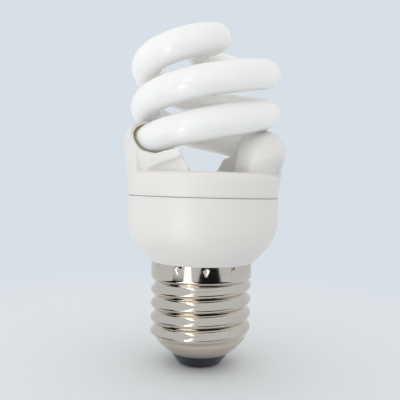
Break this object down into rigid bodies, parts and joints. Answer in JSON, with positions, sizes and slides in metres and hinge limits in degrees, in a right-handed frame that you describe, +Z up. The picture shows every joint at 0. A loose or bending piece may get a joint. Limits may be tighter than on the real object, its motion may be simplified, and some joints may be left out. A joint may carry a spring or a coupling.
{
  "type": "spiral energy saving bulb",
  "caption": "Compact fluorescent lamp: white double-spiral glass tube in a hooded cover over a round ballast housing on an E27 screw base.",
  "frame": {"origin": "on the lamp axis, at the underside of the centre contact", "axes": "+Z up along the lamp axis from the contact to the glass, -Y the side where the left arm of the glass leaves its hood"},
  "size_m": [0.0424, 0.039, 0.088],
  "materials": {
    "phosphor_glass": "milky white coated glass",
    "white_plastic": "warm white moulding",
    "nickel": "bright nickel plate",
    "black_insulator": "black",
    "contact_metal": "plain",
    "board": "phenolic board",
    "tinned_wire": "tinned",
    "cement": "matt",
    "capacitor_sleeve": "dark sleeve",
    "ferrite": "matt grey",
    "component_black": "matt black",
    "copper": "enamelled copper",
    "resistor_body": "lacquered",
    "film_capacitor": "dipped",
    "wire_sleeve": "glass-fibre sleeve"
  },
  "bodies": {
    "root": {"spiral_tube": "phosphor_glass", "upper_cover": "white_plastic", "lower_housing": "white_plastic", "screw_shell": "nickel", "base_insulator": "black_insulator", "centre_contact": "contact_metal", "circuit_board": "board", "wrap_pins": "tinned_wire", "electrode_leads_left": "tinned_wire", "electrode_leads_right": "tinned_wire", "tube_cement_left": "cement", "tube_cement_right": "cement", "bulk_capacitor": "capacitor_sleeve", "choke_core_upper": "ferrite", "choke_core_lower": "ferrite", "choke_bobbin": "component_black", "choke_winding": "copper", "toroid_core": "ferrite", "toroid_windings": "copper", "rectifier_diodes": "component_black", "bias_resistors": "resistor_body", "trigger_diac": "resistor_body", "fusible_resistor": "resistor_body", "fuse_sleeve": "wire_sleeve", "live_wire": "wire_sleeve", "neutral_wire": "tinned_wire", "transistor_low": "component_black", "transistor_high": "component_black", "resonant_capacitor": "film_capacitor", "coupling_capacitor": "film_capacitor", "start_capacitor": "film_capacitor"}
  },
  "joints": []
}
